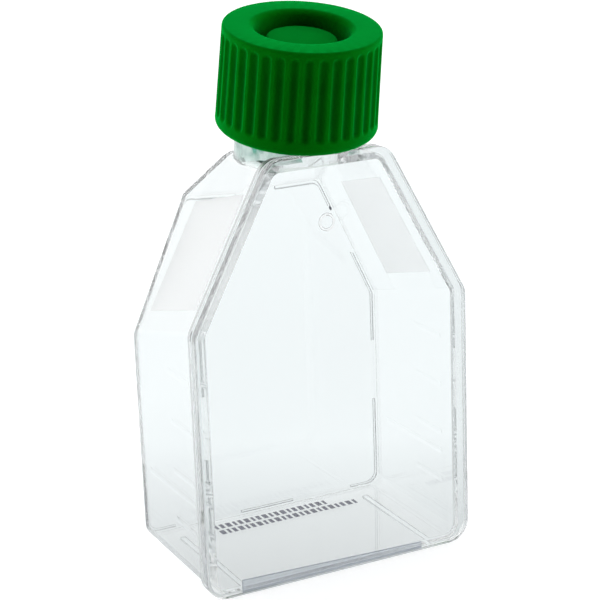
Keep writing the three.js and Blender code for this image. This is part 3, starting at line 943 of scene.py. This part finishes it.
def green_plastic():
    """Moulded polyethylene: satin, with a fine mottle, slight changes of colour and painted shade in the
    grooves of its side.
    """
    made, tree, shader = new_material("green polyethylene")
    deeper = tuple(part * share for part, share in zip(GREEN, GREEN_DEEPER))
    mottled = mix_colours(tree, spread(tree, noise(tree, 260.0), 0, 1), GREEN, deeper)
    shaded = mix_colours(tree, in_groove(tree), mottled, GROOVE_PAINTED_SHADE, "MULTIPLY")
    tree.links.new(shaded, shader.inputs["Base Color"])
    tree.links.new(spread(tree, noise(tree, 900.0), 0.4, 0.5), shader.inputs["Roughness"])
    tree.links.new(bump(tree, noise(tree, 1500.0), 0.000006), shader.inputs["Normal"])
    shader.inputs["Specular IOR Level"].default_value = 0.0
    for name, value in GREEN_SHEEN.items():
        shader.inputs["Sheen " + name].default_value = value
    return made


def print_ink():
    """Matt ink, a little uneven where it lies on the plastic."""
    made, tree, shader = new_material("print ink")
    shader.inputs["Base Color"].default_value = INK
    shader.inputs["Specular IOR Level"].default_value = 0.1
    tree.links.new(spread(tree, noise(tree, 3000.0), 0.55, 0.8), shader.inputs["Roughness"])
    tree.links.new(bump(tree, noise(tree, 5000.0), 0.00001), shader.inputs["Normal"])
    return made


def membrane_film():
    """Porous film: matt, with fine fibres."""
    made, tree, shader = new_material("filter membrane")
    shader.inputs["Base Color"].default_value = (0.85, 0.85, 0.82, 1)
    tree.links.new(spread(tree, noise(tree, 2000.0, 4.0), 0.8, 0.95), shader.inputs["Roughness"])
    tree.links.new(bump(tree, noise(tree, 6000.0, 4.0), 0.00004), shader.inputs["Normal"])
    return made


# ---- Studio ----

FLOOR_COLOUR = (0.8, 0.81, 0.82, 1)
FLOOR_GLOW_SEEN = 0.5
THROUGH_SHARE = 0.8  # how much of the floor, seen through or in the plastic, is glow
THROUGH_GLOW = (0.645, 1.11)  # in front of and behind the flask
THROUGH_COLOUR = (0.945, 0.99, 1.0, 1)
THROUGH_REACH = (-0.02, 0.055)  # where the glow goes from one level to the other, in metres
FAR_GLOW = 1.06  # how much brighter the glow is well behind the flask
FAR_REACH = (0.12, 0.35)
FLOOR_HALF = 6.0
WORLD_LEVELS = (0.0, 0.75)  # on the dim side and elsewhere
WORLD_REACH = (-0.45, -0.25)  # where it goes from one to the other, 0 being square to the dim side
WORLD_LOW_GAIN = 8.0  # how much brighter the sweep is at the horizon than overhead
WORLD_LOW_REACH = 0.5  # height of a direction at which that has faded
WORLD_LEVELS_THROUGH = (0.78, 1.0)  # the same for rays in or through the plastic
WORLD_REACH_THROUGH = (-0.6, -0.1)
DIM_SIDE = (-0.45, -0.89, 0.0)  # the direction that the dim side faces
MOST_BOUNCES = 64
SOFTBOX = {"place": (-0.15, 0.1, 0.9), "aim": (0, 0, 0.06), "size": 0.7, "power": 0.4}


def glow_for(tree, shader, kinds, glow, share):
    """The shader, with a glow mixed in for some kinds of ray."""
    part = math_node(tree, "MULTIPLY", join_paths(tree, kinds), share)
    return mix_shaders(tree, part, shader, glow)


def away_from_front(tree, source):
    """How far along the direction away from the dim side a place or direction lies."""
    return vector_node(tree, "DOT_PRODUCT", source, [-part for part in DIM_SIDE]).outputs["Value"]


def studio_floor():
    corners = [(x * FLOOR_HALF, y * FLOOR_HALF, 0) for x, y in ((-1, -1), (1, -1), (1, 1), (-1, 1))]
    floor = mesh_object("floor", corners, [(0, 1, 2, 3)])
    made, tree, shader = new_material("pale floor")
    shader.inputs["Base Color"].default_value = FLOOR_COLOUR
    shader.inputs["Roughness"].default_value = 0.9
    shader.inputs["Specular IOR Level"].default_value = 0.0
    white = tree.nodes.new("ShaderNodeEmission")
    white.inputs["Strength"].default_value = FLOOR_GLOW_SEEN
    add = tree.nodes.new("ShaderNodeAddShader")
    tree.links.new(shader.outputs[0], add.inputs[0])
    tree.links.new(white.outputs[0], add.inputs[1])
    seen = glow_for(tree, shader, ["Is Camera Ray"], add, 1.0)
    sweep = tree.nodes.new("ShaderNodeEmission")
    place_node = tree.nodes.new("ShaderNodeTexCoord")
    behind = away_from_front(tree, place_node.outputs["Object"])
    near = spread(tree, behind, *THROUGH_GLOW, *THROUGH_REACH)
    far = spread(tree, behind, 1, FAR_GLOW, *FAR_REACH)
    tree.links.new(math_node(tree, "MULTIPLY", near, far), sweep.inputs["Strength"])
    sweep.inputs["Color"].default_value = THROUGH_COLOUR
    both = glow_for(tree, seen, ["Is Glossy Ray", "Is Transmission Ray"], sweep, THROUGH_SHARE)
    tree.links.new(both.outputs[0], tree.nodes["Material Output"].inputs["Surface"])
    floor.data.materials.append(made)


def studio_light():
    """A bright sweep all round and above, dimmer on the camera's side, and one softbox overhead."""
    world = bpy.data.worlds.new("studio")
    world.use_nodes = True
    tree = world.node_tree
    background = tree.nodes["Background"]
    direction = tree.nodes.new("ShaderNodeTexCoord")
    behind = away_from_front(tree, direction.outputs["Generated"])
    in_plastic = join_paths(tree, ["Is Glossy Ray", "Is Transmission Ray"])
    level = tree.nodes.new("ShaderNodeMix")
    tree.links.new(in_plastic, level.inputs["Factor"])
    height = tree.nodes.new("ShaderNodeSeparateXYZ")
    tree.links.new(direction.outputs["Generated"], height.inputs[0])
    low = spread(tree, height.outputs["Z"], WORLD_LOW_GAIN, 1, 0.0, WORLD_LOW_REACH)
    around = spread(tree, behind, *WORLD_LEVELS, *WORLD_REACH)
    tree.links.new(math_node(tree, "MULTIPLY", around, low), level.inputs["A"])
    tree.links.new(spread(tree, behind, *WORLD_LEVELS_THROUGH, *WORLD_REACH_THROUGH), level.inputs["B"])
    tree.links.new(level.outputs["Result"], background.inputs["Strength"])
    background.inputs["Color"].default_value = (1, 1, 1, 1)
    bpy.context.scene.world = world
    lamp = bpy.data.lights.new("softbox", "AREA")
    lamp.shape = "DISK"
    lamp.size = SOFTBOX["size"]
    lamp.energy = SOFTBOX["power"]
    softbox = bpy.data.objects.new("softbox", lamp)
    softbox.location = SOFTBOX["place"]
    aim = Vector(SOFTBOX["aim"]) - softbox.location
    softbox.rotation_mode = "QUATERNION"
    softbox.rotation_quaternion = aim.to_track_quat("-Z", "Y")
    bpy.context.scene.collection.objects.link(softbox)


CAMERA = {"eye": (-143.53, -270.63, 140.53), "azimuth": -26.85, "elevation": 16.51, "roll": -2.14, "lens": 114}


def camera():
    azimuth, elevation = math.radians(CAMERA["azimuth"]), math.radians(CAMERA["elevation"])
    back = Vector((math.sin(azimuth) * math.cos(elevation), -math.cos(azimuth) * math.cos(elevation),
                   math.sin(elevation)))
    level_right = Vector((math.cos(azimuth), math.sin(azimuth), 0))
    level_up = back.cross(level_right)
    c, s = math.cos(math.radians(CAMERA["roll"])), math.sin(math.radians(CAMERA["roll"]))
    right = c * level_right + s * level_up
    up = -s * level_right + c * level_up
    data = bpy.data.cameras.new("camera")
    data.lens = CAMERA["lens"]
    data.sensor_width = 36
    data.clip_start, data.clip_end = 0.01, 20
    eye = bpy.data.objects.new("camera", data)
    turn = Matrix((right, up, back)).transposed().to_4x4()
    eye.matrix_world = Matrix.Translation((Vector(CAMERA["eye"]) + Vector((0, FRONT_Y, 0))) * MM) @ turn
    bpy.context.scene.collection.objects.link(eye)
    bpy.context.scene.camera = eye


# ---- Assembly ----

# The ridge finish is grey painted shade; the film and rim finishes are painted shadow on the cover plate.
plastic, frosted, ridge_side_shade, film, rim_shadows, welded = (clear_plastic(name, *FINISHES[name]) for name in FINISHES)
plate, cap = cover_plate(plastic, film, rim_shadows), screw_cap()
finish_with(cap, [green_plastic()])
pieces = [
    (flask_body(plastic, frosted, ridge_side_shade, print_ink(), painted_cap_reflection(), welded),
     "flask_body", "flask", "clear_body"),
    (plate, "cover_plate", "flask", "clear_cover"),
    (cap, "screw_cap", "cap", "green_cap"),
]
for piece, node, body, slot in pieces:
    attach(piece, body)
    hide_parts(node)

membrane = frame["nodes"]["filter_membrane"]
membrane.data.materials.clear()
membrane.data.materials.append(membrane_film())

studio_floor()
studio_light()
camera()

scene = bpy.context.scene
scene.view_settings.view_transform = "Standard"
scene.cycles.max_bounces = MOST_BOUNCES
scene.cycles.transmission_bounces = MOST_BOUNCES
scene.cycles.glossy_bounces = MOST_BOUNCES
scene.cycles.transparent_max_bounces = MOST_BOUNCES // 2
